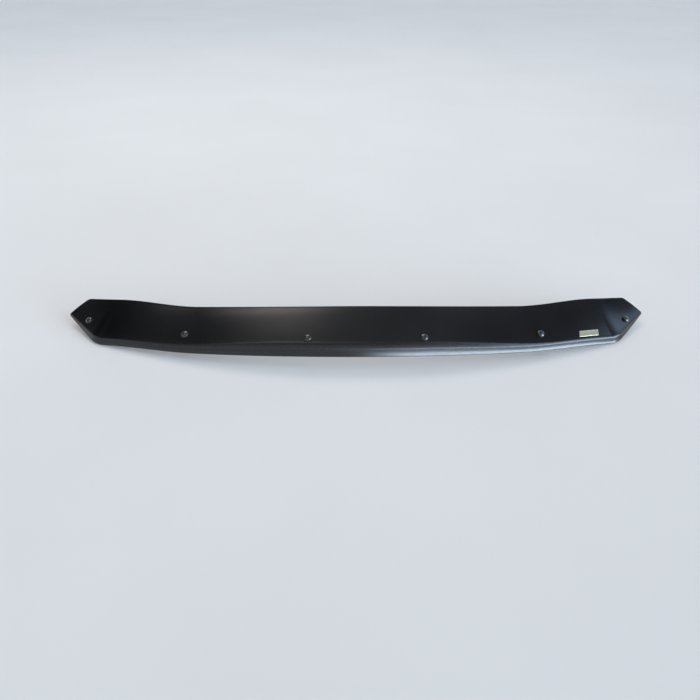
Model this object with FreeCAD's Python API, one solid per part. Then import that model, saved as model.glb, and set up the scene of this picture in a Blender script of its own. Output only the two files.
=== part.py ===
import FreeCAD, Part
import math
import os
from FreeCAD import Vector

# A screw-on wind and insect deflector for a panel's front edge. It is one thermoformed shield, six clamp
# brackets behind its lip, and the screws, caps, pads, liners and buffers between them.
# Millimetres, +Z up, +X along the shield, +Y towards the rear. The origin is on the mid-plane, on the front line
# of the edge that the brackets grip, level with the lip's lower edge.

# The sheet and its section: an upright lip, a roll over the lip, and a broad slightly dished panel
SHEET = 3.0
LIP_LEAN = 6.0
LIP_MIDDLE = 16.0
LIP_WING = 12.0
ROLL_MIDDLE = 22.0
ROLL_WING = 8.0
ROLL_TAPER_START = 150.0
ROLL_TAPER_END = 500.0
PANEL_DISH = 8.0

# The lip's lower edge from above: a long bow, a tight corner and a straight swept end
BOW_RADIUS = 1767.0
BOW_LENGTH = 642.3
CORNER_RADIUS = 70.0
END_HEADING = 48.8
END_LENGTH = 119.3

# The swept ends: lip and roll shrink towards the tips, and each end is cut to a bulging line, rounded at its top
LIP_TIP = 3.0
ROLL_TIP = 4.5
END_BULGE = 4.0
END_SPARE = 18.0
END_OVERRUN = 20.0
END_DEPTH = 15.0
WING_ROUND = 25.0

# Heights of the two long edges, which fall away sideways and lift again over the wings
CROWN_SPAN = 600.0
EDGE_CROWN = 41.3
EDGE_WING_LIFT = 7.8
END_RISE = 19.9
END_POWER = 1.3
WING_START = 382.0
WING_END = 585.0

# The top edge, whose corners stand in from the tips
TOP_INSET = 52.5
TOP_SETBACK = 87.0
TOP_BOW = 115.2
TOP_BOW_POWER = 2.2
TOP_HEIGHT = 83.4
TOP_CROWN = 60.9
TOP_WING_LIFT = 17.5
TOP_SPREAD = 1.109
TOP_TUCK_POWER = 6

# Sections that the sheet's skins pass through, on each side of the middle
BOW_SECTIONS = 16
CORNER_SECTIONS = 4
END_SECTIONS = 5

# Fixing points, left then right: distance along the lip's edge, and setback up the panel from the roll
TIP_TO_FIXING = (82.0, 75.0)
TIP_SETBACK = (17.5, 14.0)
CORNER_TO_FIXING = (222.0, 199.0)
BOW_SETBACK = (24.0, 22.0)
MIDDLE_TO_FIXING = (120.0, 151.0)
MIDDLE_SETBACK = 7.5
BUFFER_SETBACK = 32.0

# Clearances: between a flat seat and the curved sheet, round a thread, and round a screw in its hole
SEAT_CLEARANCE = 0.05
THREAD_CLEARANCE = 0.1
HOLE_CLEARANCE = 0.4

# Fixing screws, weld nuts and clamp screws
SCREW_DIAMETER = 5.0
HEAD_DIAMETER = 12.0
HEAD_HEIGHT = 3.0
SOCKET_ACROSS = 3.0
SOCKET_DEPTH = 2.0
SCREW_TIP = 1.2
NUT_ACROSS = 8.0
NUT_HEIGHT = 2.7
CLAMP_SETBACK = 15.0
CLAMP_REACH = 3.5
CLAMP_TAIL = 1.0

# Washers, and the caps that snap over the screws' heads
WASHER_DIAMETER = 18.6
WASHER_HEIGHT = 0.9
CAP_DIAMETER = 16.6
CAP_SKIRT = 3.2
CAP_HEIGHT = 6.0
CAP_ROOF_GAP = 0.3

# Pads between sheet and bracket
PAD_WIDTH = 17.0
PAD_HEIGHT = 4.0

# Brackets and their liners
STEEL = 2.0
BRACKET_WIDTH = 20.0
BRACKET_CORNER = 4.0
TAB_REACH = 10.0
LIP_GAP = 2.5
NOSE_RADIUS = 5.0
FOOT_RADIUS = 4.0
FOOT_DROP = 6.0
JAW_REACH = 27.0
LINER = 1.5
LINER_OVERHANG = 1.0
LINER_REACH = 8.0

# Rubber buffers
BUFFER_LENGTH = 22.0
BUFFER_WIDTH = 14.0
BUFFER_HEIGHT = 13.0
BUFFER_CHAMFER = 2.0

# Rounds in which the panel's slope settles, from a first guess
SLOPE_ROUNDS = 12
FIRST_SLOPE = 0.5
EXACT = 1e-6
LIP_ANGLE = math.radians(90.0 - LIP_LEAN)
DISH = math.radians(PANEL_DISH)
CORNER_LENGTH = CORNER_RADIUS * (math.radians(END_HEADING) - BOW_LENGTH / BOW_RADIUS)
HALF_LENGTH = BOW_LENGTH + CORNER_LENGTH + END_LENGTH
LIP_BACK = LIP_MIDDLE * math.cos(LIP_ANGLE) + SHEET * math.sin(LIP_ANGLE)
STANDOFF = LIP_BACK + LIP_GAP + STEEL + LINER
SCREW_REACH = SHEET + PAD_HEIGHT + STEEL + NUT_HEIGHT + SCREW_TIP


def ease(value, start, end):
    """Smooth step from 0 at start to 1 at end."""
    share = min(1.0, max(0.0, (value - start) / (end - start)))
    return share * share * (3.0 - 2.0 * share)


def between(start, end, share):
    return start + (end - start) * share


def past_corner(station):
    """How far a station lies on the way from a corner to the tip, slow at first."""
    beyond = max(abs(station) - BOW_LENGTH, 0.0)
    return (beyond / (HALF_LENGTH - BOW_LENGTH)) ** END_POWER


def lower_edge(station):
    """Point of the lip's lower outer edge at a distance along it from the middle."""
    distance = abs(station)
    bow = min(distance, BOW_LENGTH) / BOW_RADIUS
    corner = min(max(distance - BOW_LENGTH, 0.0), CORNER_LENGTH) / CORNER_RADIUS
    rest = max(distance - BOW_LENGTH - CORNER_LENGTH, 0.0)
    heading = bow + corner
    x = BOW_RADIUS * math.sin(bow) + CORNER_RADIUS * (math.sin(heading) - math.sin(bow))
    y = BOW_RADIUS * (1.0 - math.cos(bow)) + CORNER_RADIUS * (math.cos(bow) - math.cos(heading))
    x += rest * math.cos(heading)
    y += rest * math.sin(heading)
    bow_x = BOW_RADIUS * math.sin(bow)
    z = EDGE_WING_LIFT * ease(bow_x, WING_START, WING_END) - EDGE_CROWN * (bow_x / CROWN_SPAN) ** 2
    z += END_RISE * past_corner(station)
    return Vector(math.copysign(x, station), y - STANDOFF, z)


def top_edge(station):
    """Point of the top edge that belongs to the same station as the lower edge's point."""
    share = abs(station) / HALF_LENGTH
    reach = lower_edge(HALF_LENGTH).x - TOP_INSET
    x = reach * (TOP_SPREAD * share - (TOP_SPREAD - 1.0) * share ** TOP_TUCK_POWER)
    y = TOP_SETBACK + TOP_BOW * (x / CROWN_SPAN) ** TOP_BOW_POWER
    z = TOP_HEIGHT + TOP_WING_LIFT * ease(x, WING_START, WING_END) - TOP_CROWN * (x / CROWN_SPAN) ** 2
    return Vector(math.copysign(x, station), y - STANDOFF, z)


class Section:
    """The sheet's section at one station, in the upright plane through the two long edges.

    Depth and rise are measured in that plane from the lip's lower outer edge."""

    def __init__(self, station):
        self.foot = lower_edge(station)
        span = top_edge(station) - self.foot
        self.depth = math.hypot(span.x, span.y)
        self.rise = span.z
        self.inward = Vector(span.x / self.depth, span.y / self.depth, 0.0)
        taper = ease(abs(self.foot.x), ROLL_TAPER_START, ROLL_TAPER_END)
        fade = past_corner(station)
        self.lip = between(between(LIP_MIDDLE, LIP_WING, taper), LIP_TIP, fade)
        self.roll = between(between(ROLL_MIDDLE, ROLL_WING, taper), ROLL_TIP, fade)
        self.roll_centre = (
            self.lip * math.cos(LIP_ANGLE) + self.roll * math.sin(LIP_ANGLE),
            self.lip * math.sin(LIP_ANGLE) - self.roll * math.cos(LIP_ANGLE),
        )
        self.slope = FIRST_SLOPE
        for _ in range(SLOPE_ROUNDS):
            start = self.roll_point(self.slope, 0.0)
            chord = (self.depth - start[0], self.rise - start[1])
            self.slope = math.atan2(chord[1], chord[0]) - DISH / 2.0
        self.panel_radius = math.hypot(*chord) / (2.0 * math.sin(DISH / 2.0))
        self.panel_centre = (
            start[0] - self.panel_radius * math.sin(self.slope),
            start[1] + self.panel_radius * math.cos(self.slope),
        )

    def lip_point(self, height, under):
        """Depth and rise on the lip, at a height up its face and a distance under that face."""
        return (
            height * math.cos(LIP_ANGLE) + under * math.sin(LIP_ANGLE),
            height * math.sin(LIP_ANGLE) - under * math.cos(LIP_ANGLE),
        )

    def roll_point(self, angle, under):
        """Depth and rise on the roll, where its tangent has the given slope."""
        radius = self.roll - under
        return (
            self.roll_centre[0] - radius * math.sin(angle),
            self.roll_centre[1] + radius * math.cos(angle),
        )

    def panel_point(self, setback, under):
        """Depth and rise on the panel, at a setback from the roll measured on the outer face."""
        angle = self.slope + setback / self.panel_radius
        radius = self.panel_radius + under
        return (
            self.panel_centre[0] + radius * math.sin(angle),
            self.panel_centre[1] - radius * math.cos(angle),
        )

    def in_space(self, point):
        """A depth and rise as a point of the whole shield."""
        return self.foot + self.inward * point[0] + Vector(0.0, 0.0, point[1])

    def lip_row(self, under):
        return [self.lip_point(0.0, under), self.lip_point(self.lip, under)]

    def roll_row(self, under):
        reach = arc_handle(LIP_ANGLE - self.slope) * (self.roll - under)
        start = self.roll_point(LIP_ANGLE, under)
        end = self.roll_point(self.slope, under)
        return [start, ahead(start, LIP_ANGLE, reach), ahead(end, self.slope, -reach), end]

    def panel_row(self, under):
        reach = arc_handle(DISH) * (self.panel_radius + under)
        start = self.panel_point(0.0, under)
        end = self.panel_point(self.panel_radius * DISH, under)
        return [start, ahead(start, self.slope, reach), ahead(end, self.slope + DISH, -reach), end]

    def rows(self):
        """Poles across each of the sheet's faces: up the outer face, over the top, down the inner and under."""
        outer = [self.lip_row(0.0), self.roll_row(0.0), self.panel_row(0.0)]
        inner = [self.lip_row(SHEET), self.roll_row(SHEET), self.panel_row(SHEET)]
        edges = [[outer[2][-1], inner[2][-1]], [outer[0][0], inner[0][0]]]
        return [[self.in_space(point) for point in row] for row in outer + inner + edges]


def arc_handle(turn):
    """Length of a cubic's handles, as a share of the radius of the arc that it follows."""
    return math.tan(turn / 4.0) * 4.0 / 3.0


def ahead(point, angle, reach):
    return point[0] + reach * math.cos(angle), point[1] + reach * math.sin(angle)


def skin(rows, places):
    """Smooth surface through rows of poles, one row at each of the places along the shield."""
    grid = []
    for column in zip(*rows):
        curve = Part.BSplineCurve()
        curve.interpolate(Points=list(column), Parameters=places)
        grid.append(curve.getPoles())
    degree = len(grid) - 1
    width = rows[0][0].distanceToPoint(rows[0][-1])
    surface = Part.BSplineSurface()
    surface.buildFromPolesMultsKnots(
        grid, [degree + 1, degree + 1], curve.getMultiplicities(), [0.0, width], curve.getKnots(),
        False, False, degree, curve.Degree
    )
    return surface


def moved_by(placement, shape):
    moved = shape.copy()
    moved.Placement = placement.multiply(shape.Placement)
    return moved


def outer_face(station, setback):
    """Point of the panel's outer face."""
    section = Section(station)
    return section.in_space(section.panel_point(setback, 0.0))


class Seat:
    """A pair of flat seats over and under the panel, with axes x along the shield, y up the panel and z out.

    Each stands off the curved sheet by the most that the sheet bulges over the seat's length and width."""

    def __init__(self, station, setback, sheet, length, width):
        step = 1.0
        self.section = Section(station)
        self.origin = outer_face(station, setback)
        along = outer_face(station + step, setback) - outer_face(station - step, setback)
        up = outer_face(station, setback + step) - outer_face(station, setback - step)
        self.out = along.cross(up).normalize()
        self.up = up.normalize()
        self.along = self.up.cross(self.out)
        self.placement = FreeCAD.Placement(FreeCAD.Matrix(
            self.along.x, self.up.x, self.out.x, self.origin.x,
            self.along.y, self.up.y, self.out.y, self.origin.y,
            self.along.z, self.up.z, self.out.z, self.origin.z,
            0.0, 0.0, 0.0, 1.0,
        ))
        self.over = self.extent(sheet, WASHER_DIAMETER, WASHER_DIAMETER).ZMax + SEAT_CLEARANCE
        self.under = self.extent(sheet, length, width).ZMin - SEAT_CLEARANCE

    def extent(self, sheet, length, width):
        """Box at the seat's own axes round the part of the sheet within a length and width of its middle."""
        core = Part.makeBox(length, width, 6.0 * SHEET, Vector(-length / 2.0, -width / 2.0, -3.0 * SHEET))
        return moved_by(self.placement.inverse(), sheet.common(self.placed(core, 0.0))).optimalBoundingBox(False)

    def flat(self, depth, rise):
        """A point of the section as distances up the panel and out of the seat under it."""
        point = self.section.in_space((depth, rise)) - self.origin
        return point.dot(self.up), point.dot(self.out) - self.under

    def placed(self, shape, height):
        """A shape that was made at the seat's own axes, put in its place at a height out of the sheet."""
        return moved_by(self.placement, shape.translated(Vector(0, 0, height)))

    def above(self, shape):
        return self.placed(shape, self.over)

    def below(self, shape):
        return self.placed(shape, self.under)


def fixings():
    """Station and setback of each fixing screw, from left to right."""
    places = []
    for side, sign in enumerate((-1.0, 1.0)):
        places.append((sign * (HALF_LENGTH - TIP_TO_FIXING[side]), TIP_SETBACK[side]))
        places.append((sign * (BOW_LENGTH - CORNER_TO_FIXING[side]), BOW_SETBACK[side]))
        places.append((sign * MIDDLE_TO_FIXING[side], MIDDLE_SETBACK))
    return sorted(places)


def buffers():
    """Station and setback of each buffer, midway between the fixings on each side of the middle two."""
    places = [station for station, setback in fixings()]
    midway = [between(start, end, 0.5) for start, end in zip(places, places[1:])]
    middle = len(midway) // 2
    return [(station, BUFFER_SETBACK) for station in midway[:middle] + midway[middle + 1:]]


def stations():
    """Stations of the lofted sections from the left tip to the right tip, close together at the corners."""
    quarter = math.pi / 2.0
    half = [0.0]
    half += [BOW_LENGTH * math.sin(quarter * i / BOW_SECTIONS) for i in range(1, BOW_SECTIONS + 1)]
    half += [BOW_LENGTH + CORNER_LENGTH * i / CORNER_SECTIONS for i in range(1, CORNER_SECTIONS + 1)]
    start = BOW_LENGTH + CORNER_LENGTH
    run = END_LENGTH + END_SPARE
    half += [start + run * (1.0 - math.cos(quarter * i / END_SECTIONS)) for i in range(1, END_SECTIONS + 1)]
    return [-station for station in reversed(half[1:])] + half


def on_circle(centre, side, up, radius, turn):
    """Point of a circle in the plane of two square directions, at a turn from the first."""
    return centre + side * radius * math.cos(turn) + up * radius * math.sin(turn)


def end_block():
    """Block beyond the right end's outline: an arc that bulges out from the tip, rounded into the top edge."""
    tip, top = lower_edge(HALF_LENGTH), top_edge(HALF_LENGTH)
    up = (top - tip).normalize()
    inward = (top_edge(HALF_LENGTH - END_SPARE) - top).normalize()
    out = up.cross(inward).normalize()
    side = up.cross(out)
    half = tip.distanceToPoint(top) / 2.0
    radius = (half ** 2 + END_BULGE ** 2) / (2.0 * END_BULGE)
    centre = (tip + top) * 0.5 + side * (END_BULGE - radius)
    swing = math.asin(half / radius)
    down = side * math.sin(swing) - up * math.cos(swing)
    reach = WING_ROUND / math.tan(down.getAngle(inward) / 2.0)
    turns = [-swing - END_OVERRUN / radius, 0.0, swing - reach / radius]
    low, middle, high = [on_circle(centre, side, up, radius, turn) for turn in turns]
    last = top + inward * reach
    bend = top + (high + last - top * 2.0).normalize() * (math.hypot(WING_ROUND, reach) - WING_ROUND)
    edges = [Part.Arc(low, middle, high).toShape(), Part.Arc(high, bend, last).toShape()]
    above, beyond = up * END_SPARE, side * (END_SPARE + END_OVERRUN)
    edges += Part.makePolygon([last, last + above, last + above + beyond, low + beyond, low]).Edges
    face = Part.Face(Part.Wire(edges))
    face.translate(out * -END_DEPTH)
    return face.extrude(out * 2.0 * END_DEPTH)


def trimmed(sheet):
    """The sheet with both ends cut to their outline."""
    block = end_block()
    return sheet.cut([block, block.mirror(Vector(0, 0, 0), Vector(1, 0, 0))])


def make_sheet():
    """The formed sheet before it is drilled."""
    places = stations()
    across = [Section(station).rows() for station in places]
    skins = [skin(rows, places) for rows in zip(*across)]
    spans = (places[0], -BOW_LENGTH, BOW_LENGTH, places[-1])
    faces = []
    for surface in skins:
        across_start, across_end = surface.bounds()[:2]
        for start, end in zip(spans, spans[1:]):
            faces.append(surface.toShape(across_start, across_end, start, end))
    for place in (places[0], places[-1]):
        rim = Part.__sortEdges__([surface.vIso(place).toShape() for surface in skins])
        faces.append(Part.Face(Part.Wire(rim)))
    shell = Part.makeShell(faces)
    shell.sewShape()
    return trimmed(Part.Solid(Part.Shell(shell.Faces)))


def drilled(sheet, seats):
    """The sheet with a hole for each fixing screw."""
    drill = Part.makeCylinder(SCREW_DIAMETER / 2.0 + HOLE_CLEARANCE, 6.0 * SHEET, Vector(0, 0, -3.0 * SHEET))
    return sheet.cut([seat.placed(drill, 0.0) for seat in seats])


def turned(profile):
    """Solid turned about the seat's axis from a closed profile of radii and heights."""
    corners = [Vector(radius, 0.0, height) for radius, height in profile]
    face = Part.Face(Part.makePolygon(corners + corners[:1]))
    return face.revolve(Vector(0, 0, 0), Vector(0, 0, 1), 360)


def hexagon(across, height, base):
    """Upright hexagonal prism of a width across its flats."""
    radius = across / math.sqrt(3.0)
    turns = [math.pi / 3.0 * i for i in range(6)]
    corners = [Vector(radius * math.cos(turn), radius * math.sin(turn), base) for turn in turns]
    return Part.Face(Part.makePolygon(corners + corners[:1])).extrude(Vector(0, 0, height))


def make_washer():
    """Flat washer between sheet and cap."""
    bore = SCREW_DIAMETER / 2.0 + HOLE_CLEARANCE
    rim = WASHER_DIAMETER / 2.0
    return turned(((bore, 0.0), (rim, 0.0), (rim, WASHER_HEIGHT), (bore, WASHER_HEIGHT)))


def dome(radius, shoulder, crown):
    """Arc of a shallow dome, from its shoulder up to its crown on the axis."""
    height = crown - shoulder
    ball = (radius ** 2 + height ** 2) / (2.0 * height)
    half_turn = math.asin(radius / ball) / 2.0
    middle = Vector(ball * math.sin(half_turn), 0, crown - ball + ball * math.cos(half_turn))
    return Part.Arc(Vector(radius, 0, shoulder), middle, Vector(0, 0, crown)).toShape()


def make_cap():
    """Domed cap, open below, with a well that snaps over the screw's head."""
    outer = CAP_DIAMETER / 2.0
    well = HEAD_DIAMETER / 2.0 + THREAD_CLEARANCE
    shoulder = WASHER_HEIGHT + CAP_SKIRT
    crown = WASHER_HEIGHT + CAP_HEIGHT
    roof = WASHER_HEIGHT + HEAD_HEIGHT + CAP_ROOF_GAP
    inside = [(0.0, crown), (0.0, roof), (well, roof), (well, WASHER_HEIGHT)]
    corners = inside + [(outer, WASHER_HEIGHT), (outer, shoulder)]
    edges = Part.makePolygon([Vector(radius, 0.0, height) for radius, height in corners]).Edges
    wire = Part.Wire(edges + [dome(outer, shoulder, crown)])
    return Part.Face(wire).revolve(Vector(0, 0, 0), Vector(0, 0, 1), 360)


def make_screw():
    """Flat-headed fixing screw with a hexagon socket, down through washer, sheet, pad, tab and nut."""
    radius = SCREW_DIAMETER / 2.0
    rim = HEAD_DIAMETER / 2.0
    head = WASHER_HEIGHT + HEAD_HEIGHT
    shank = ((0.0, -SCREW_REACH), (radius, -SCREW_REACH), (radius, WASHER_HEIGHT))
    body = turned(shank + ((rim, WASHER_HEIGHT), (rim, head), (0.0, head)))
    return body.cut(hexagon(SOCKET_ACROSS, SOCKET_DEPTH, head - SOCKET_DEPTH))


def make_clamp_screw():
    """Socket set screw, with the jaw's outer face at height zero and its tip up in the hook."""
    tail = -NUT_HEIGHT - CLAMP_TAIL
    tip = STEEL + CLAMP_REACH
    body = Part.makeCylinder(SCREW_DIAMETER / 2.0, tip - tail, Vector(0, 0, tail))
    return body.cut(hexagon(SOCKET_ACROSS, SOCKET_DEPTH, tail))


def make_pad():
    """Square rubber pad between sheet and tab."""
    corner = Vector(-PAD_WIDTH / 2.0, -PAD_WIDTH / 2.0, -PAD_HEIGHT)
    bore = Part.makeCylinder(SCREW_DIAMETER / 2.0 + HOLE_CLEARANCE, PAD_HEIGHT, Vector(0, 0, -PAD_HEIGHT))
    return Part.makeBox(PAD_WIDTH, PAD_WIDTH, PAD_HEIGHT, corner).cut(bore)


def make_buffer():
    """Rubber block stuck under the sheet, chamfered round its foot."""
    corner = Vector(-BUFFER_LENGTH / 2.0, -BUFFER_WIDTH / 2.0, -BUFFER_HEIGHT)
    block = Part.makeBox(BUFFER_LENGTH, BUFFER_WIDTH, BUFFER_HEIGHT, corner)
    rim = [edge for edge in block.Edges if edge.BoundBox.ZMax < EXACT - BUFFER_HEIGHT]
    return block.makeChamfer(BUFFER_CHAMFER, rim)


def beside(points, distance):
    """A bent line of points in the YZ plane, moved to its left by a distance."""
    runs = [(end - start).normalize() for start, end in zip(points, points[1:])]
    lefts = [Vector(0.0, -run.z, run.y) for run in runs]
    moved = [points[0] + lefts[0] * distance]
    for corner, left, next_left in zip(points[1:], lefts, lefts[1:]):
        moved.append(corner + (left + next_left) * (distance / (1.0 + left.dot(next_left))))
    return moved + [points[-1] + lefts[-1] * distance]


def bend_reach(before, corner, after, radius):
    """How far from its corner a bend of this radius starts."""
    return radius / math.tan((before - corner).getAngle(after - corner) / 2.0)


def bent(points, radii):
    """Edges of a bent line: straight runs joined by tangent arcs."""
    edges = []
    start = points[0]
    for before, corner, after, radius in zip(points, points[1:], points[2:], radii):
        back = (before - corner).normalize()
        onward = (after - corner).normalize()
        reach = bend_reach(before, corner, after, radius)
        to_centre = (back + onward).normalize()
        middle = corner + to_centre * (math.hypot(radius, reach) - radius)
        edges.append(Part.LineSegment(start, corner + back * reach).toShape())
        edges.append(Part.Arc(corner + back * reach, middle, corner + onward * reach).toShape())
        start = corner + onward * reach
    edges.append(Part.LineSegment(start, points[-1]).toShape())
    return edges


def bent_strip(points, radii, thickness, width):
    """Strip bent along its outer face."""
    inner = beside(points, thickness)
    edges = bent(points, radii) + bent(inner, [radius - thickness for radius in radii])
    edges.append(Part.LineSegment(points[0], inner[0]).toShape())
    edges.append(Part.LineSegment(points[-1], inner[-1]).toShape())
    side = Part.Face(Part.Wire(Part.__sortEdges__(edges)))
    side.translate(Vector(-width / 2.0, 0, 0))
    return side.extrude(Vector(width, 0, 0))


def bracket_line(seat):
    """Outer face of the bracket at a seat: over the tab, down the riser and back under the jaw."""
    section = seat.section
    riser = section.lip_point(section.lip, SHEET)[0] + LIP_GAP
    foot = Vector(0.0, *seat.flat(riser, -FOOT_DROP))
    jaw = Vector(0.0, *seat.flat(riser + JAW_REACH, -FOOT_DROP))
    up = Vector(0.0, *seat.flat(riser, 0.0)) - foot
    nose = foot + up * ((-PAD_HEIGHT - foot.z) / up.z)
    return [Vector(0.0, TAB_REACH, -PAD_HEIGHT), nose, foot, jaw]


def upright_on(line, shape):
    """A shape made on an upright axis, set square on the jaw's outer face at the clamp screw."""
    foot, jaw = line[2:]
    along = (jaw - foot).normalize()
    square = Vector(0.0, -along.z, along.y)
    turn = FreeCAD.Rotation(Vector(0, 0, 1), square)
    return moved_by(FreeCAD.Placement(foot + along * CLAMP_SETBACK, turn), shape)


def make_bracket(line):
    """Bent steel strip with a hexagon nut welded on under its tab and one under its jaw."""
    strip = bent_strip(line, [NOSE_RADIUS, FOOT_RADIUS], STEEL, BRACKET_WIDTH)
    strip = strip.makeChamfer(BRACKET_CORNER, [edge for edge in strip.Edges if abs(edge.Length - STEEL) < EXACT])
    nut = hexagon(NUT_ACROSS, NUT_HEIGHT, -NUT_HEIGHT)
    drill = Part.makeCylinder(SCREW_DIAMETER / 2.0 + THREAD_CLEARANCE, 6.0 * STEEL, Vector(0, 0, -3.0 * STEEL))
    tab_side = Vector(0, 0, -PAD_HEIGHT - STEEL)
    welded = strip.fuse([nut.translated(tab_side), upright_on(line, nut)])
    return welded.cut([drill.translated(tab_side), upright_on(line, drill)]).removeSplitter()


def make_liner(line):
    """Soft strip against the inside of the hook, from under the nose to short of the clamp screw."""
    tab, nose, foot, jaw = beside(line, STEEL)
    start = nose + (foot - nose).normalize() * bend_reach(tab, nose, foot, NOSE_RADIUS - STEEL)
    end = foot + (jaw - foot).normalize() * LINER_REACH
    return bent_strip([start, foot, end], [FOOT_RADIUS - STEEL], LINER, BRACKET_WIDTH + 2.0 * LINER_OVERHANG)


def save(shape, node):
    shape.exportStep("parts/" + node + ".step")


def main():
    os.makedirs("parts", exist_ok=True)
    sheet = make_sheet()
    seats = [Seat(station, setback, sheet, PAD_WIDTH, PAD_WIDTH) for station, setback in fixings()]
    lines = [bracket_line(seat) for seat in seats]
    save(drilled(sheet, seats), "shield")
    for node, make in (("washers", make_washer), ("screw_caps", make_cap), ("fixing_screws", make_screw)):
        save(Part.makeCompound([seat.above(make()) for seat in seats]), node)
    clamps = [seat.below(upright_on(line, make_clamp_screw())) for seat, line in zip(seats, lines)]
    save(Part.makeCompound(clamps), "clamp_screws")
    for number, (seat, line) in enumerate(zip(seats, lines), 1):
        save(seat.below(make_pad()), "pad_%d" % number)
        save(seat.below(make_bracket(line)), "bracket_%d" % number)
        save(seat.below(make_liner(line)), "liner_%d" % number)
    for number, (station, setback) in enumerate(buffers(), 1):
        seat = Seat(station, setback, sheet, BUFFER_LENGTH, BUFFER_WIDTH)
        save(seat.below(make_buffer()), "buffer_%d" % number)


main()
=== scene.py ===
import math

import bmesh
import bpy
from mathutils import Matrix, Vector


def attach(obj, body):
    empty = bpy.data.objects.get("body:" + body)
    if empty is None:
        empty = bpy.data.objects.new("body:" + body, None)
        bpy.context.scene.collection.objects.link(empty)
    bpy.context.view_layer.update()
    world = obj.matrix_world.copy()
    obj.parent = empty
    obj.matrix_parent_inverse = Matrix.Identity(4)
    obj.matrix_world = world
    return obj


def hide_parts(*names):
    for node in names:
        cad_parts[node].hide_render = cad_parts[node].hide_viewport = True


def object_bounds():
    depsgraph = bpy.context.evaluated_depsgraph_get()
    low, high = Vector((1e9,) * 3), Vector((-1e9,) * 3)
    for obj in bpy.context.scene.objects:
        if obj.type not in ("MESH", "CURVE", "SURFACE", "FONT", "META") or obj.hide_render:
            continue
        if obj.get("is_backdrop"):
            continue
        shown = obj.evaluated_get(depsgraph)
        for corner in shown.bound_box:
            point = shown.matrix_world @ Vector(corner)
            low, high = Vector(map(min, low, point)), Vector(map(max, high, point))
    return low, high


# Lengths are millimetres while shapes are worked out, and metres once they are meshes.
MM = 0.001

# The sheet, as the solids have it
SHEET = 3.0
LIP_ANGLE = math.radians(84.0)
LIP_MIDDLE = 16.0
LIP_WING = 12.0
ROLL_MIDDLE = 22.0
ROLL_WING = 8.0
ROLL_TAPER = (150.0, 500.0)
DISH = math.radians(8.0)
BOW_RADIUS = 1767.0
BOW_LENGTH = 642.3
CORNER_RADIUS = 70.0
END_HEADING = math.radians(48.8)
END_LENGTH = 119.3
LIP_TIP = 3.0
ROLL_TIP = 4.5
END_BULGE = 4.0
END_SPARE = 18.0
WING_ROUND = 25.0
CROWN_SPAN = 600.0
EDGE_CROWN = 41.3
EDGE_WING_LIFT = 7.8
END_RISE = 19.9
END_POWER = 1.3
WING = (382.0, 585.0)
TOP_INSET = 52.5
TOP_SETBACK = 87.0
TOP_BOW = 115.2
TOP_BOW_POWER = 2.2
TOP_HEIGHT = 83.4
TOP_CROWN = 60.9
TOP_WING_LIFT = 17.5
TOP_SPREAD = 1.109
TOP_TUCK_POWER = 6
CORNER_LENGTH = CORNER_RADIUS * (END_HEADING - BOW_LENGTH / BOW_RADIUS)
HALF_LENGTH = BOW_LENGTH + CORNER_LENGTH + END_LENGTH
LIP_BACK = LIP_MIDDLE * math.cos(LIP_ANGLE) + SHEET * math.sin(LIP_ANGLE)

# What stands between the lip's inner face and the mounting edge: a gap, the bracket's steel and its liner
LIP_GAP = 2.5
STEEL = 2.0
LINER = 1.5
STANDOFF = LIP_BACK + LIP_GAP + STEEL + LINER

# Rounds that settle the panel's slope, and the slope that they start from
SLOPE_ROUNDS = 12
FIRST_SLOPE = 0.5

# How far the lip's lower edge curls forwards, and the share of the roll that eases into the curl
LIP_CURL = 4.0
CURL_POWER = 1.5
CURL_ROLL = 0.4

# Share of the lip's height at which the duller finish of the fold begins
FOLD_START = 0.35

# The polished cut edge, how finely the sheet is meshed, and how finely its ends are cut
EDGE_ROUND = 0.7
EDGE_STEPS = 4
LIP_STEPS = 12
ROLL_STEPS = 22
PANEL_STEPS = 30
BOW_STEPS = 110
CORNER_STEPS = 20
SWEEP_STEPS = 18
TRIM_STEPS = 14
FOLD_STEPS = 5
TRIM_START = 60.0
TRIM_FINE = 3
ROW_FINE = 4
ROW_HALVINGS = 10

# Fixings: station and setback of each, from left to right, and what lifts the caps off the panel
FIXINGS = (
    (82.0 - HALF_LENGTH, 17.5),
    (222.0 - BOW_LENGTH, 24.0),
    (-120.0, 7.5),
    (151.0, 7.5),
    (BOW_LENGTH - 199.0, 22.0),
    (HALF_LENGTH - 75.0, 14.0),
)
SEAT_GAP = 0.11
WASHER_HEIGHT = 0.9

# The domed caps: sizes, angle in degrees at which the rim starts, and how finely they are turned
CAP_RADIUS = 8.3
CAP_WELL = 6.1
CAP_ROOF = 3.3
CAP_SKIRT = 3.2
CAP_HEIGHT = 6.0
CAP_RIM = 0.4
CAP_SHOULDER = 0.8
CAP_BULGE = 0.1
CAP_RIM_START = -80.0
CAP_RIM_STEPS = 4
CAP_BEND_STEPS = 6
CAP_CROWN_STEPS = 14
CAP_SEGMENTS = 64
SPUN_MERGE = 1e-7

# The bare plate near the right end: middle, half sizes, tilt and lean on the panel, and heights over it.
# Its outermost points stand at its foot, and inside its border it is sunk.
PLATE_MIDDLE = (576.6, 12.3)
PLATE_HALF = (28.0, 7.8)
PLATE_STEPS = (64, 24)
PLATE_TILT = math.radians(-3.5)
PLATE_LEAN = math.tan(math.radians(20.0))
PLATE_THICK = 0.7
PLATE_FOOT = 0.05
PLATE_RIM = 0.01
PLATE_BORDER = 1.2
PLATE_SLOPE = 0.5
PLATE_SUNK = 0.25

# Rounds that find the panel's point under a point of the plate
DROP_ROUNDS = 4

# Small solids: how close in metres points are one, and the angles that count as flat and as sharp
SOLID_MERGE = 2e-6
FLAT_ANGLE = math.radians(0.6)
SHARP_ANGLE = math.radians(28.0)

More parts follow.
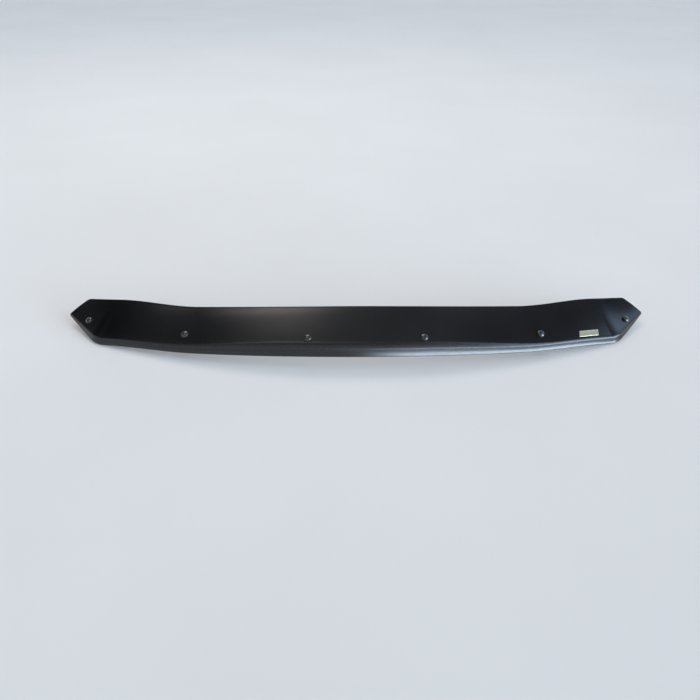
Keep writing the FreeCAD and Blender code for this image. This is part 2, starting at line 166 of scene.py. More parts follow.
# The photograph's viewpoint, fitted to the traced outline, with place and frame in millimetres
CAMERA_PLACE = (-43.1, -1353.7, 873.0)
CAMERA_PITCH = math.radians(32.5)
CAMERA_YAW = math.radians(0.904)
CAMERA_ROLL = math.radians(0.289)
CAMERA_FRAME = 36.0
CAMERA_LENS = 36.0

# The floor, in metres: half its width, and how far it lies below the lowest point
FLOOR_REACH = 40.0
FLOOR_GAP = 0.0005

# The one lamp, above and behind: place, aim and size in metres, power in watts and colour
LAMP_PLACE = (-0.8, 2.4, 4.2)
LAMP_AIM = (0.0, 0.1, 0.0)
LAMP_SIZE = (3.0, 2.5)
LAMP_POWER = 64.0
LAMP_COLOUR = (1.0, 0.98, 0.95)

# The surroundings: level of light at each elevation in degrees, and its tint
SKY_LEVELS = ((0.0, 1.0), (14.0, 0.92), (30.0, 0.72), (44.0, 0.45), (56.0, 0.32), (72.0, 0.34), (90.0, 0.38))
SKY_TINT = (0.95, 0.98, 1.04)

# Dark places: azimuth, elevation and spread in degrees, and the share of light that each takes
SKY_SHADES = (
    (-106.0, 38.0, 28.0, 0.94),
    (90.0, 49.0, 15.0, 0.55),
    (105.0, 31.0, 14.0, 0.90),
)

# Straight edges of glows: a direction, and how far towards it a glow starts and is full
REAR_EDGE = ((-0.175, -0.954, -0.242), -0.012, 0.022)
FRONT_EDGE = ((0.175, 0.954, 0.242), -0.110, -0.065)
SIDE_EDGE = ((-0.540, 0.712, 0.449), -0.045, 0.055)

# Round glows: azimuth, elevation and spread in degrees, the straight edges that cut them, and their light
SKY_GLOWS = (
    (-52.0, 70.0, 10.0, (), (1.15, 1.05, 1.0)),
    (-54.0, 67.0, 14.0, (REAR_EDGE, FRONT_EDGE), (2.4, 2.25, 2.15)),
    (48.0, 52.0, 10.0, (), (0.75, 0.80, 0.95)),
    (109.0, 33.0, 11.0, (SIDE_EDGE,), (1.2, 1.7, 2.5)),
)

# Panes of light: azimuths and elevations in degrees, softness of the sides, and their light
SKY_PANES = (
    ((0.0, 92.0), (-8.0, 7.0), 0.30, (13.0, 16.0, 19.5)),
    ((40.0, 84.0), (7.0, 19.0), 0.12, (7.2, 10.3, 13.9)),
    ((42.0, 84.0), (19.0, 46.0), 0.12, (1.9, 2.75, 3.8)),
)

# Softness of the panes' upper and lower edges
PANE_SOFT = 0.02


def ease(value, start, end):
    """Share of the way from start to end, with a soft beginning and a soft end."""
    share = min(1.0, max(0.0, (value - start) / (end - start)))
    return share * share * (3.0 - 2.0 * share)


def between(start, end, share):
    return start + (end - start) * share


def past_corner(station):
    """Weight of the swept end, 0 along the bow and 1 at the tip."""
    beyond = max(abs(station) - BOW_LENGTH, 0.0)
    return (beyond / (HALF_LENGTH - BOW_LENGTH)) ** END_POWER


def lower_edge(station):
    """Point of the lip's lower edge at a station, which is counted along it from the middle."""
    distance = abs(station)
    bow = min(distance, BOW_LENGTH) / BOW_RADIUS
    corner = min(max(distance - BOW_LENGTH, 0.0), CORNER_LENGTH) / CORNER_RADIUS
    rest = max(distance - BOW_LENGTH - CORNER_LENGTH, 0.0)
    heading = bow + corner
    x = BOW_RADIUS * math.sin(bow) + CORNER_RADIUS * (math.sin(heading) - math.sin(bow))
    y = BOW_RADIUS * (1.0 - math.cos(bow)) + CORNER_RADIUS * (math.cos(bow) - math.cos(heading))
    x += rest * math.cos(heading)
    y += rest * math.sin(heading)
    bow_x = BOW_RADIUS * math.sin(bow)
    z = EDGE_WING_LIFT * ease(bow_x, *WING) - EDGE_CROWN * (bow_x / CROWN_SPAN) ** 2
    z += END_RISE * past_corner(station)
    return Vector((math.copysign(x, station), y - STANDOFF, z))


def top_edge(station):
    """Point of the top edge that belongs to a station."""
    share = abs(station) / HALF_LENGTH
    reach = lower_edge(HALF_LENGTH).x - TOP_INSET
    x = reach * (TOP_SPREAD * share - (TOP_SPREAD - 1.0) * share ** TOP_TUCK_POWER)
    y = TOP_SETBACK + TOP_BOW * (x / CROWN_SPAN) ** TOP_BOW_POWER
    z = TOP_HEIGHT + TOP_WING_LIFT * ease(x, *WING) - TOP_CROWN * (x / CROWN_SPAN) ** 2
    return Vector((math.copysign(x, station), y - STANDOFF, z))


class Section:
    """The sheet's section at one station: curled lip, roll and dished panel."""

    def __init__(self, station):
        self.foot = lower_edge(station)
        span = top_edge(station) - self.foot
        self.depth = math.hypot(span.x, span.y)
        self.rise = span.z
        self.inward = Vector((span.x / self.depth, span.y / self.depth, 0.0))
        taper = ease(abs(self.foot.x), *ROLL_TAPER)
        fade = past_corner(station)
        self.lip = between(between(LIP_MIDDLE, LIP_WING, taper), LIP_TIP, fade)
        self.roll = between(between(ROLL_MIDDLE, ROLL_WING, taper), ROLL_TIP, fade)
        self.roll_centre = (
            self.lip * math.cos(LIP_ANGLE) + self.roll * math.sin(LIP_ANGLE),
            self.lip * math.sin(LIP_ANGLE) - self.roll * math.cos(LIP_ANGLE),
        )
        self.slope = FIRST_SLOPE
        for _ in range(SLOPE_ROUNDS):
            start = self.roll_point(self.slope, 0.0)
            chord = (self.depth - start[0], self.rise - start[1])
            self.slope = math.atan2(chord[1], chord[0]) - DISH / 2.0
        self.panel_radius = math.hypot(*chord) / (2.0 * math.sin(DISH / 2.0))
        self.panel_length = self.panel_radius * DISH
        self.panel_centre = (
            start[0] - self.panel_radius * math.sin(self.slope),
            start[1] + self.panel_radius * math.cos(self.slope),
        )

    def curl(self, height):
        """How far the lip stands forward at a height, counted on along the roll above it."""
        share = min(1.0, height / (self.lip + CURL_ROLL * self.roll))
        return LIP_CURL * self.lip / LIP_MIDDLE * (1.0 - share) ** CURL_POWER

    def lip_point(self, height, under):
        under -= self.curl(height)
        return (
            height * math.cos(LIP_ANGLE) + under * math.sin(LIP_ANGLE),
            height * math.sin(LIP_ANGLE) - under * math.cos(LIP_ANGLE),
        )

    def roll_point(self, angle, under):
        radius = self.roll - under + self.curl(self.lip + self.roll * (LIP_ANGLE - angle))
        return (
            self.roll_centre[0] - radius * math.sin(angle),
            self.roll_centre[1] + radius * math.cos(angle),
        )

    def panel_point(self, setback, under):
        angle = self.slope + setback / self.panel_radius
        radius = self.panel_radius + under
        return (
            self.panel_centre[0] + radius * math.sin(angle),
            self.panel_centre[1] - radius * math.cos(angle),
        )

    def in_space(self, point):
        """Place in space of a point given by its setback and height in the section."""
        return self.foot + self.inward * point[0] + Vector((0.0, 0.0, point[1]))

    def face(self, under, inset):
        """Points up one face of the sheet from lip to top edge, which stop short of both by an inset."""
        height = self.lip - inset
        turn = LIP_ANGLE - self.slope
        reach = self.panel_length - inset
        points = [self.lip_point(inset + height * i / LIP_STEPS, under) for i in range(LIP_STEPS)]
        points += [self.roll_point(LIP_ANGLE - turn * i / ROLL_STEPS, under) for i in range(ROLL_STEPS)]
        points += [self.panel_point(reach * i / PANEL_STEPS, under) for i in range(PANEL_STEPS + 1)]
        return points

    def loop(self, inset):
        """Closed outline of the sheet with rounded edges, all faces moved inwards by an inset."""
        radius = EDGE_ROUND - inset
        turns = [math.pi / 2.0 * i / EDGE_STEPS for i in range(1, EDGE_STEPS)]
        points = self.face(inset, EDGE_ROUND)
        top = self.panel_length - EDGE_ROUND
        rounds = [(radius * math.sin(turn), radius * math.cos(turn)) for turn in turns]
        points += [self.panel_point(top + out, EDGE_ROUND - under) for out, under in rounds]
        points += [self.panel_point(top + out, SHEET - EDGE_ROUND + under) for out, under in rounds[::-1]]
        points += self.face(SHEET - inset, EDGE_ROUND)[::-1]
        points += [self.lip_point(EDGE_ROUND - out, SHEET - EDGE_ROUND + under) for out, under in rounds]
        points += [self.lip_point(EDGE_ROUND - out, EDGE_ROUND - under) for out, under in rounds[::-1]]
        return [self.in_space(point) for point in points]


def fold_weights():
    """How much each point of a section's outline belongs to the roll, in the outline's order."""
    face = [ease(i, FOLD_START * LIP_STEPS, LIP_STEPS) for i in range(LIP_STEPS)]
    face += [1.0] * (ROLL_STEPS - FOLD_STEPS)
    face += [1.0 - ease(i, 0.0, 2.0 * FOLD_STEPS) for i in range(2 * FOLD_STEPS)]
    face += [0.0] * (PANEL_STEPS + 1 - FOLD_STEPS)
    rim = EDGE_STEPS - 1
    return face + [0.0] * (2 * rim) + face[::-1] + [0.0] * (2 * rim)


def panel_at(station, setback):
    """Point of the panel's outer face."""
    section = Section(station)
    return section.in_space(section.panel_point(setback, 0.0))


def seat_matrix(station, setback, height):
    """Axes of a seat on the panel: x along the shield, y up the panel, z out of it."""
    origin = panel_at(station, setback)
    along = panel_at(station + 1.0, setback) - panel_at(station - 1.0, setback)
    up = panel_at(station, setback + 1.0) - panel_at(station, setback - 1.0)
    out = along.cross(up).normalized()
    up = up.normalized()
    along = up.cross(out)
    matrix = Matrix((along, up, out)).transposed().to_4x4()
    matrix.translation = origin + out * height
    return matrix


def filled(mesh, work):
    """The mesh with the faces of a work mesh, all shaded smooth. The work mesh ends here."""
    work.to_mesh(mesh)
    work.free()
    mesh.polygons.foreach_set("use_smooth", [True] * len(mesh.polygons))
    return mesh


def shown(name, data):
    """New object in the scene with this mesh, lens or lamp."""
    made = bpy.data.objects.new(name, data)
    bpy.context.scene.collection.objects.link(made)
    return made


class EndOutline:
    """The line that an end is cut to: an arc that bulges out from the tip, rounded into the top edge."""

    def __init__(self, side):
        tip = lower_edge(side * HALF_LENGTH)
        top = top_edge(side * HALF_LENGTH)
        self.up = (top - tip).normalized()
        inward = (top_edge(side * (HALF_LENGTH - END_SPARE)) - top).normalized()
        out = self.up.cross(inward).normalized() * side
        self.side = self.up.cross(out) * side
        self.square = self.up.cross(self.side).normalized()
        half = (top - tip).length / 2.0
        self.radius = (half ** 2 + END_BULGE ** 2) / (2.0 * END_BULGE)
        self.centre = (tip + top) * 0.5 + self.side * (END_BULGE - self.radius)
        swing = math.asin(half / self.radius)
        down = self.side * math.sin(swing) - self.up * math.cos(swing)
        reach = WING_ROUND / math.tan(down.angle(inward) / 2.0)
        self.middle = top + (down + inward).normalized() * math.hypot(WING_ROUND, reach)
        self.starts = (top + down * reach - self.middle, top + inward * reach - self.middle)

    def outside(self, point):
        """How far a point lies outside the line, negative for a point inside it."""
        off = point - self.middle
        flat = off - self.square * off.dot(self.square)
        first, last = self.starts
        fan = first.angle(last)
        if flat.angle(first) <= fan and flat.angle(last) <= fan:
            return flat.length - WING_ROUND
        off = point - self.centre
        return math.hypot(off.dot(self.side), off.dot(self.up)) - self.radius


def rows_at(side, stations, inset):
    """Rows of points along the shield, one row for each point of the sheet's outline."""
    return list(zip(*[Section(side * station).loop(inset) for station in stations]))


def on_row(row, place):
    """Point of a row at a place counted in its own steps."""
    index = min(int(place), len(row) - 2)
    return row[index].lerp(row[index + 1], place - index)


def row_end(row, outline, depth):
    """Place at which a row comes within a depth of the end's outline."""
    place = 0.0
    for step in range((len(row) - 1) * ROW_FINE):
        if outline.outside(on_row(row, (step + 1) / ROW_FINE)) > -depth:
            break
        place = (step + 1) / ROW_FINE
    low, high = place, min(place + 1.0 / ROW_FINE, len(row) - 1.0)
    for _ in range(ROW_HALVINGS):
        half = (low + high) / 2.0
        if outline.outside(on_row(row, half)) > -depth:
            high = half
        else:
            low = half
    return low


def end_rings(side):
    """Rings from where the trimming starts to the cut end, the last of them round its edge."""
    outline = EndOutline(side)
    start = HALF_LENGTH - TRIM_START
    run = TRIM_START + END_SPARE
    count = TRIM_FINE * TRIM_STEPS
    stations = [start + run * i / count for i in range(count + 1)]
    rows = rows_at(side, stations, 0.0)
    ends = [row_end(row, outline, EDGE_ROUND) for row in rows]
    rings = []
    for i in range(1, TRIM_STEPS + 1):
        share = i / TRIM_STEPS
        rings.append([on_row(row, end * share) for row, end in zip(rows, ends)])
    for i in range(1, EDGE_STEPS + 1):
        turn = math.pi / 2.0 * i / EDGE_STEPS
        depth = EDGE_ROUND * (1.0 - math.sin(turn))
        rows = rows_at(side, stations, EDGE_ROUND * (1.0 - math.cos(turn)))
        rings.append([on_row(row, row_end(row, outline, depth)) for row in rows])
    return rings


def make_shield():
    """The formed sheet as one fine closed mesh with polished edges."""
    half = [BOW_LENGTH * i / BOW_STEPS for i in range(1, BOW_STEPS)]
    half += [BOW_LENGTH + CORNER_LENGTH * i / CORNER_STEPS for i in range(CORNER_STEPS)]
    start = BOW_LENGTH + CORNER_LENGTH
    sweep = HALF_LENGTH - TRIM_START - start
    half += [start + sweep * i / SWEEP_STEPS for i in range(SWEEP_STEPS + 1)]
    right = [Section(station).loop(0.0) for station in half] + end_rings(1.0)
    left = [Section(-station).loop(0.0) for station in half] + end_rings(-1.0)
    rings = left[::-1] + [Section(0.0).loop(0.0)] + right
    count = len(rings[0])
    faces = []
    for ring in range(len(rings) - 1):
        near, far = ring * count, (ring + 1) * count
        for i in range(count):
            j = (i + 1) % count
            faces.append((near + i, near + j, far + j, far + i))
    rim = EDGE_STEPS - 1
    last = (len(rings) - 1) * count
    for i in range(-rim, count // 2 - rim - 1):
        across = count - 2 * rim - 2 - i
        strip = [corner % count for corner in (i, i + 1, across, across + 1)]
        faces.append(strip[::-1])
        faces.append([last + corner for corner in strip])
    mesh = bpy.data.meshes.new("shield_skin")
    mesh.from_pydata([tuple(point * MM) for ring in rings for point in ring], [], faces)
    work = bmesh.new()
    work.from_mesh(mesh)
    bmesh.ops.recalc_face_normals(work, faces=work.faces)
    filled(mesh, work)
    fold = mesh.attributes.new("fold", "FLOAT", "POINT")
    fold.data.foreach_set("value", fold_weights() * len(rings))
    return shown("shield_skin", mesh)


def spun(name, profile, segments):
    """Solid of revolution about z through radius and height pairs, as one mesh."""
    work = bmesh.new()
    points = [work.verts.new((radius * MM, 0.0, height * MM)) for radius, height in profile]
    edges = [work.edges.new(pair) for pair in zip(points, points[1:])]
    bmesh.ops.spin(
        work, geom=points + edges, axis=(0, 0, 1), cent=(0, 0, 0), dvec=(0, 0, 0),
        angle=2.0 * math.pi, steps=segments, use_merge=True
    )
    bmesh.ops.remove_doubles(work, verts=work.verts, dist=SPUN_MERGE)
    bmesh.ops.recalc_face_normals(work, faces=work.faces)
    return filled(bpy.data.meshes.new(name), work)


def arc(centre, radius, start, end, steps):
    """Points of an arc in radius and height, angles in degrees from the outward axis."""
    turns = [math.radians(start + (end - start) * i / steps) for i in range(steps + 1)]
    return [(centre[0] + radius * math.cos(turn), centre[1] + radius * math.sin(turn)) for turn in turns]


def cap_profile():
    """Outline of a domed cap from the roof of its well, down its inside, and up over the dome."""
    ball_height = CAP_HEIGHT - CAP_SKIRT
    ball = (CAP_RADIUS ** 2 + ball_height ** 2) / (2.0 * ball_height)
    edge = math.degrees(math.asin((CAP_RADIUS - CAP_SHOULDER) / ball))
    foot = CAP_RADIUS - CAP_RIM
    points = [(0.0, CAP_ROOF), (CAP_WELL, CAP_ROOF), (CAP_WELL, 0.0), (foot, 0.0)]
    points += arc((foot, CAP_RIM), CAP_RIM, CAP_RIM_START, 0.0, CAP_RIM_STEPS)
    side = (CAP_RADIUS, CAP_SKIRT - CAP_SHOULDER)
    corner = (CAP_RADIUS, CAP_SKIRT + CAP_BULGE)
    crown = arc((0.0, CAP_HEIGHT - ball), ball, 90.0 - edge, 90.0, CAP_CROWN_STEPS)
    points.append(side)
    for i in range(1, CAP_BEND_STEPS):
        share = i / CAP_BEND_STEPS
        first = [between(side[axis], corner[axis], share) for axis in range(2)]
        last = [between(corner[axis], crown[0][axis], share) for axis in range(2)]
        points.append(tuple(between(first[axis], last[axis], share) for axis in range(2)))
    return points + crown


def make_caps():
    """Six snap caps, each a smooth dome with a soft shoulder, open below."""
    cap = spun("cap_shape", cap_profile(), CAP_SEGMENTS)
    work = bmesh.new()
    for station, setback in FIXINGS:
        placed = cap.copy()
        place = seat_matrix(station, setback, SEAT_GAP + WASHER_HEIGHT)
        place.translation *= MM
        placed.transform(place)
        work.from_mesh(placed)
    return shown("caps_smooth", filled(bpy.data.meshes.new("caps_smooth"), work))


def make_plate():
    """Thin bare plate bent to the panel, with a raised plain border."""
    half_x, half_y = PLATE_HALF
    axes = seat_matrix(*PLATE_MIDDLE, 0.0)
    along, up, out = axes.col[0].to_3d(), axes.col[1].to_3d(), axes.col[2].to_3d()
    turn = Matrix.Rotation(PLATE_TILT, 3, out)
    along, up = turn @ along, turn @ up
    up += along * PLATE_LEAN
    steps_x, steps_y = PLATE_STEPS
    work = bmesh.new()
    grid = []
    for j in range(steps_y + 1):
        row = []
        for i in range(steps_x + 1):
            x = half_x * (2.0 * i / steps_x - 1.0)
            y = half_y * (2.0 * j / steps_y - 1.0)
            edge = min(half_x - abs(x), half_y - abs(y))
            height = PLATE_THICK if edge > PLATE_RIM else PLATE_FOOT
            height -= PLATE_SUNK * ease(edge, PLATE_BORDER, PLATE_BORDER + PLATE_SLOPE)
            place = axes.translation + along * x + up * y
            row.append(work.verts.new((place + out * (height - drop_at(place, out))) * MM))
        grid.append(row)
    for j in range(steps_y):
        for i in range(steps_x):
            work.faces.new((grid[j][i], grid[j][i + 1], grid[j + 1][i + 1], grid[j + 1][i]))
    bmesh.ops.recalc_face_normals(work, faces=work.faces)
    return shown("bare_plate", filled(bpy.data.meshes.new("bare_plate"), work))


def drop_at(place, out):
    """How far the panel's outer face lies below a point near it, measured along a direction."""
    station, setback = PLATE_MIDDLE
    for _ in range(DROP_ROUNDS):
        face = panel_at(station, setback)
        along = panel_at(station + 1.0, setback) - face
        up = panel_at(station, setback + 1.0) - face
        off = place - face
        off -= out * off.dot(out)
        skew = along.dot(up)
        area = along.dot(along) * up.dot(up) - skew * skew
        station += (off.dot(along) * up.dot(up) - off.dot(up) * skew) / area
        setback += (off.dot(up) * along.dot(along) - off.dot(along) * skew) / area
    return (place - panel_at(station, setback)).dot(out)


def softened(node, width):
    """Copy of a solid with its sharp edges eased by a small bevel."""
    work = bmesh.new()
    work.from_mesh(bpy.data.objects[node].data)
    bmesh.ops.remove_doubles(work, verts=work.verts, dist=SOLID_MERGE)
    bmesh.ops.dissolve_limit(work, angle_limit=FLAT_ANGLE, verts=work.verts, edges=work.edges)
    sharp = [edge for edge in work.edges if edge.is_manifold and edge.calc_face_angle() > SHARP_ANGLE]
    bmesh.ops.bevel(
        work, geom=sharp, offset=width, segments=2, profile=0.5, affect="EDGES", clamp_overlap=True
    )
    bmesh.ops.recalc_face_normals(work, faces=work.faces)
    made = shown(node + "_soft", filled(bpy.data.meshes.new(node + "_soft"), work))
    weighted = made.modifiers.new("even_normals", "WEIGHTED_NORMAL")
    weighted.keep_sharp = True
    return made


class Nodes:
    """Builds the nodes of one tree, one call each."""

    def __init__(self, tree):
        self.tree = tree

    def add(self, kind, links=None, **settings):
        node = self.tree.nodes.new(kind)
        for key, value in settings.items():
            setattr(node, key, value)
        for key, value in (links or {}).items():
            self.feed(node.inputs[key], value)
        return node

    def feed(self, socket, value):
        if isinstance(value, bpy.types.NodeSocket):
            self.tree.links.new(value, socket)
        else:
            socket.default_value = value

    def joined(self, operation, *values):
        """Outcome of a sum on one to three values."""
        return self.add("ShaderNodeMath", dict(enumerate(values)), operation=operation).outputs[0]

    def ranged(self, value, start, end, low=0.0, high=1.0, **settings):
        """The value drawn out, so that start becomes low and end becomes high."""
        links = {"Value": value, "From Min": start, "From Max": end, "To Min": low, "To Max": high}
        return self.add("ShaderNodeMapRange", links, **settings).outputs["Result"]

    def mixed(self, share, first, second):
        """Colour that goes from the first to the second as the share grows."""
        return self.add("ShaderNodeMix", {0: share, 6: first, 7: second}, data_type="RGBA").outputs[2]


class Finish(Nodes):
    """A material with patterns that lie fixed in the object."""

    def __init__(self, name):
        self.material = bpy.data.materials.new(name)
        self.material.use_nodes = True
        super().__init__(self.material.node_tree)
        self.shader = self.tree.nodes["Principled BSDF"]
        self.place = self.add("ShaderNodeTexCoord").outputs["Object"]

    def stretched(self, scale):
        return self.add("ShaderNodeMapping", {"Vector": self.place, "Scale": scale}).outputs["Vector"]

    def noise(self, scale=1.0, detail=3.0, rough=0.5, place=None):
        links = {"Vector": place or self.place, "Scale": scale, "Detail": detail, "Roughness": rough}
        return self.add("ShaderNodeTexNoise", links).outputs["Fac"]

    def bump(self, height, strength, distance):
        links = {"Height": height, "Strength": strength, "Distance": distance}
        self.set(Normal=self.add("ShaderNodeBump", links).outputs["Normal"])

    def set(self, **values):
        for key, value in values.items():
            self.feed(self.shader.inputs[key.replace("_", " ")], value)


def grey(level, tint=0.0):
    """Grey with its blue raised by a share."""
    return (level, level, level * (1.0 + tint), 1.0)


def acrylic():
    """Opaque gloss black sheet: faint haze, wipe marks along its length, fine dust, and a duller fold."""
    made = Finish("acrylic_black")
    haze = made.noise(scale=9.0, detail=4.0)
    wipes = made.noise(detail=5.0, rough=0.6, place=made.stretched((14.0, 260.0, 260.0)))
    dust = made.add("ShaderNodeTexVoronoi", {"Vector": made.place, "Scale": 420.0}).outputs["Distance"]
    specks = made.ranged(dust, 0.05, 0.11, low=1.0, high=0.0)
    sparse = made.ranged(made.noise(scale=170.0, detail=1.0), 0.60, 0.66)
    speck = made.joined("MULTIPLY", specks, sparse)
    body = made.mixed(made.ranged(haze, 0.35, 0.7), grey(0.0030, tint=0.10), grey(0.0046, tint=0.15))
    body = made.mixed(made.joined("MULTIPLY", speck, 0.35), body, grey(0.08))
    fold = made.add("ShaderNodeAttribute", attribute_name="fold").outputs["Fac"]
    roughness = made.ranged(wipes, 0.3, 0.7, low=0.09, high=0.15)
    roughness = made.joined("ADD", roughness, made.ranged(haze, 0.3, 0.7, high=0.03))
    roughness = made.joined("ADD", roughness, made.joined("MULTIPLY", speck, 0.4))
    roughness = made.joined("ADD", roughness, made.joined("MULTIPLY", fold, 0.15))
    made.set(Base_Color=body, Roughness=roughness, IOR=1.49)
    ripple = made.noise(detail=2.0, place=made.stretched((3.0, 26.0, 26.0)))
    made.bump(ripple, strength=0.25, distance=0.0006)
    return made.material


def moulded(name, levels, rough, grain, depth, sheen=0.0, gloss=0.0):
    """Moulded plastic or rubber with a fine grain and a little bloom, grey between two levels."""
    made = Finish(name)
    bloom = made.noise(scale=60.0, detail=4.0)
    texture = made.noise(scale=grain)
    dark, light = levels
    made.set(Base_Color=made.mixed(made.ranged(bloom, 0.35, 0.7), grey(dark), grey(light)))
    made.set(Roughness=made.ranged(texture, 0.3, 0.7, low=rough - 0.06, high=rough + 0.08))
    made.set(Sheen_Weight=sheen, Coat_Weight=gloss, Coat_Roughness=0.10, IOR=1.5)
    made.bump(texture, strength=0.5, distance=depth)
    return made.material


def powder_coat():
    """Satin black powder coat with orange peel, rubbed paler at edges and bends."""
    made = Finish("coated_steel")
    peel = made.noise(scale=900.0, detail=2.0)
    rub = made.noise(scale=240.0, detail=5.0, rough=0.6)
    point = made.add("ShaderNodeNewGeometry").outputs["Pointiness"]
    edge = made.joined("MULTIPLY", made.ranged(point, 0.52, 0.60), made.ranged(rub, 0.45, 0.6))
    made.set(Base_Color=made.mixed(edge, grey(0.022, tint=0.05), grey(0.12)))
    made.set(Roughness=made.ranged(peel, 0.3, 0.7, low=0.36, high=0.50))
    made.bump(peel, strength=0.4, distance=0.00008)
    return made.material


def plated():
    """Bright zinc plate with drawing marks and a faint yellow cast."""
    made = Finish("plated_steel")
    cloud = made.noise(scale=320.0, detail=4.0)
    body = made.mixed(made.ranged(cloud, 0.3, 0.7), (0.56, 0.56, 0.55, 1.0), (0.72, 0.69, 0.60, 1.0))
    made.set(Base_Color=body, Metallic=1.0, Roughness=made.ranged(cloud, 0.3, 0.7, low=0.24, high=0.42))
    made.bump(made.noise(scale=1400.0, detail=2.0), strength=0.2, distance=0.00004)
    return made.material


def pale_gold():
    """Anodised plate, brushed along its length."""
    made = Finish("plate_gold")
    brush = made.noise(rough=0.6, place=made.stretched((90.0, 2600.0, 2600.0)))
    stain = made.noise(scale=120.0, detail=4.0)
    body = made.mixed(made.ranged(stain, 0.3, 0.7), (0.40, 0.355, 0.235, 1.0), (0.50, 0.455, 0.325, 1.0))
    made.set(Base_Color=body, Metallic=0.85, Roughness=made.ranged(brush, 0.3, 0.7, low=0.32, high=0.48))
    made.bump(brush, strength=0.25, distance=0.00003)
    return made.material


def floor_finish():
    """Plain pale studio floor, a little lighter where it is looked at or mirrored."""
    made = Finish("floor_pale")
    cloud = made.noise(scale=1.4)
    body = made.mixed(made.ranged(cloud, 0.3, 0.7), (0.69, 0.67, 0.64, 1.0), (0.72, 0.70, 0.67, 1.0))
    path = made.add("ShaderNodeLightPath").outputs
    seen = made.joined("ADD", path["Is Camera Ray"], path["Is Glossy Ray"])
    seen = made.joined("MINIMUM", made.joined("ADD", seen, path["Is Transmission Ray"]), 1.0)
    made.set(Base_Color=body, Roughness=0.75, Emission_Color=grey(1.0))
    made.set(Emission_Strength=made.joined("MULTIPLY", seen, 0.05))
    return made.material


def make_floor(level):
    """Flat square floor at a height in metres."""
    signs = ((-1.0, -1.0), (1.0, -1.0), (1.0, 1.0), (-1.0, 1.0))
    mesh = bpy.data.meshes.new("floor")
    mesh.from_pydata([(x * FLOOR_REACH, y * FLOOR_REACH, level) for x, y in signs], [], [(0, 1, 2, 3)])
    mesh.materials.append(floor_finish())
    made = shown("floor", mesh)
    made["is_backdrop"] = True


def make_camera():
    """The photograph's viewpoint, looking down on the shield with a square frame."""
    pitch, yaw, roll = CAMERA_PITCH, CAMERA_YAW, CAMERA_ROLL
    forward = Vector((math.sin(yaw) * math.cos(pitch), math.cos(yaw) * math.cos(pitch), -math.sin(pitch)))
    level = Vector((math.cos(yaw), -math.sin(yaw), 0.0))
    upright = level.cross(forward)
    right = level * math.cos(roll) + upright * math.sin(roll)
    up = upright * math.cos(roll) - level * math.sin(roll)
    lens = bpy.data.cameras.new("camera")
    lens.sensor_fit = "HORIZONTAL"
    lens.sensor_width = CAMERA_FRAME
    lens.lens = CAMERA_LENS
    lens.clip_start = 0.01
    lens.clip_end = 200.0
    matrix = Matrix((right, up, -forward)).transposed().to_4x4()
    matrix.translation = Vector(CAMERA_PLACE) * MM
    made = shown("camera", lens)
    made.matrix_world = matrix
    bpy.context.scene.camera = made


def make_lamp():
    """Soft lamp that lights the top and throws the shadow forward."""
    lamp = bpy.data.lights.new("key", "AREA")
    lamp.shape = "RECTANGLE"
    lamp.size, lamp.size_y = LAMP_SIZE
    lamp.energy = LAMP_POWER
    lamp.color = LAMP_COLOUR
    made = shown("key", lamp)
    made.location = LAMP_PLACE
    made.rotation_euler = (Vector(LAMP_AIM) - Vector(LAMP_PLACE)).to_track_quat("-Z", "Y").to_euler()


def towards(azimuth, elevation):
    """Unit vector at an azimuth from straight in front, growing to the right, and an elevation."""
    turn, rise = math.radians(azimuth), math.radians(elevation)
    return Vector((math.sin(turn) * math.cos(rise), -math.cos(turn) * math.cos(rise), math.sin(rise)))


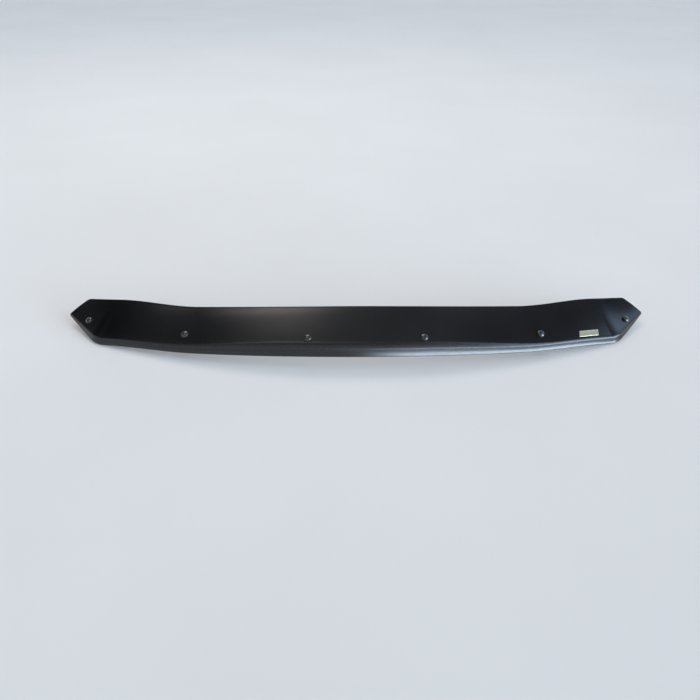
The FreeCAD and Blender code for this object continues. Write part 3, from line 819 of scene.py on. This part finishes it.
class Sky(Nodes):
    """The studio's surroundings: levels by height, with glows, panes of light and dark places."""

    def __init__(self):
        world = bpy.data.worlds.new("studio")
        bpy.context.scene.world = world
        world.use_nodes = True
        super().__init__(world.node_tree)
        self.ray = self.add("ShaderNodeTexCoord").outputs["Generated"]

    def vector(self, operation, links, output="Vector"):
        return self.add("ShaderNodeVectorMath", links, operation=operation).outputs[output]

    def levels(self, stops, tint):
        """Light that depends on the elevation alone."""
        height = self.add("ShaderNodeSeparateXYZ", {0: self.ray}).outputs["Z"]
        ramp = self.add("ShaderNodeValToRGB", {"Fac": height})
        elements = ramp.color_ramp.elements
        while len(elements) < len(stops):
            elements.new(0.5)
        for element, (elevation, level) in zip(elements, stops):
            element.position = math.sin(math.radians(elevation))
            element.color = [level * part for part in tint] + [1.0]
        return ramp.outputs["Color"]

    def past(self, direction, start, end):
        """Weight that rises from 0 to 1 as the ray turns towards a direction."""
        near = self.vector("DOT_PRODUCT", {0: self.ray, 1: direction}, "Value")
        return self.ranged(near, start, end, interpolation_type="SMOOTHSTEP")

    def spot(self, azimuth, elevation, spread, edges=()):
        """Round weight, 1 in the middle and falling away over a spread of degrees, cut by straight edges."""
        near = self.vector("DOT_PRODUCT", {0: self.ray, 1: towards(azimuth, elevation)}, "Value")
        sharp = 2.0 / math.radians(spread) ** 2
        weight = self.joined("EXPONENT", self.joined("MULTIPLY_ADD", near, sharp, -sharp))
        for edge in edges:
            weight = self.joined("MULTIPLY", weight, self.past(*edge))
        return weight

    def pane(self, azimuths, elevations, soft):
        """Weight of a pane between two azimuths and two elevations, with soft edges."""
        left, right = towards(azimuths[0] + 90.0, 0.0), towards(azimuths[1] - 90.0, 0.0)
        low, high = [math.sin(math.radians(elevation)) for elevation in elevations]
        sides = self.joined("MULTIPLY", self.past(left, 0.0, soft), self.past(right, 0.0, soft))
        above = self.past((0.0, 0.0, 1.0), low - PANE_SOFT, low + PANE_SOFT)
        below = self.past((0.0, 0.0, -1.0), -high - PANE_SOFT, PANE_SOFT - high)
        return self.joined("MULTIPLY", sides, self.joined("MULTIPLY", above, below))

    def added(self, light, weight, colour):
        """The light with a colour added, as strong as its weight."""
        return self.vector("ADD", {0: light, 1: self.vector("SCALE", {0: colour, "Scale": weight})})

    def dimmed(self, light, weight, share):
        """The light with a share taken away, as strong as its weight."""
        cut = self.vector("SCALE", {0: (-share, -share, -share), "Scale": weight})
        return self.vector("MULTIPLY", {0: light, 1: self.vector("ADD", {0: cut, 1: (1.0, 1.0, 1.0)})})


def make_world():
    """A studio pale round the horizon and darker overhead, warm to the left and cool to the right."""
    sky = Sky()
    backdrop = sky.levels(SKY_LEVELS, SKY_TINT)
    light = backdrop
    for azimuth, elevation, spread, share in SKY_SHADES:
        light = sky.dimmed(light, sky.spot(azimuth, elevation, spread), share)
    for azimuth, elevation, spread, edges, colour in SKY_GLOWS:
        light = sky.added(light, sky.spot(azimuth, elevation, spread, edges), colour)
    for azimuths, elevations, soft, colour in SKY_PANES:
        light = sky.added(light, sky.pane(azimuths, elevations, soft), colour)
    # Surfaces are lit by all of it, and a look past them shows the plain levels
    direct = sky.add("ShaderNodeLightPath").outputs["Is Camera Ray"]
    sky.feed(sky.tree.nodes["Background"].inputs["Color"], sky.mixed(direct, light, backdrop))


bpy.context.scene.view_settings.view_transform = "Standard"
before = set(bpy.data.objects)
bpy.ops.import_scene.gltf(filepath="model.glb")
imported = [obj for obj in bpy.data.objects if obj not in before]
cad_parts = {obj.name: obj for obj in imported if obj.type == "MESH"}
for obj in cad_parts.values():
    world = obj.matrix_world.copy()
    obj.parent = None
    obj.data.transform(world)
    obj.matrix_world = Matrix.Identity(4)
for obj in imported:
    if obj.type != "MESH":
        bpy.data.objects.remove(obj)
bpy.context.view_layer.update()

black = acrylic()
cap_finish = moulded("cap_plastic", (0.006, 0.010), rough=0.20, grain=700.0, depth=0.00002, gloss=0.8)
washer_finish = moulded("washer_plastic", (0.012, 0.020), rough=0.50, grain=900.0, depth=0.00004)
liner_finish = moulded("liner_rubber", (0.020, 0.032), rough=0.72, grain=800.0, depth=0.00006, sheen=0.1)
pad_finish = moulded("pad_rubber", (0.022, 0.038), rough=0.80, grain=600.0, depth=0.00010, sheen=0.1)
buffer_finish = moulded("buffer_rubber", (0.026, 0.045), rough=0.74, grain=500.0, depth=0.00010, sheen=0.1)
steel_coat = powder_coat()
zinc = plated()

shield = make_shield()
shield.data.materials.append(black)
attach(shield, "root")
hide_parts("shield")

caps = make_caps()
caps.data.materials.append(cap_finish)
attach(caps, "root")
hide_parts("screw_caps")

plate = make_plate()
plate.data.materials.append(pale_gold())
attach(plate, "root")

# The other solids: start of the name, width of the eased edges in metres, finish and slot
kinds = (
    ("washers", 0.00015, washer_finish, "washer_plastic"),
    ("fixing_screws", 0.00025, zinc, "plated_steel"),
    ("clamp_screws", 0.00030, zinc, "plated_steel"),
    ("bracket_", 0.00030, steel_coat, "coated_steel"),
    ("liner_", 0.00030, liner_finish, "liner_rubber"),
    ("pad_", 0.00050, pad_finish, "pad_rubber"),
    ("buffer_", 0.00060, buffer_finish, "buffer_rubber"),
)
for name in sorted(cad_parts):
    for start, width, finish, slot in kinds:
        if name.startswith(start):
            piece = softened(name, width)
            piece.data.materials.append(finish)
            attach(piece, "root")
            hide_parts(name)

make_camera()
make_world()
make_lamp()
make_floor(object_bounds()[0].z - FLOOR_GAP)
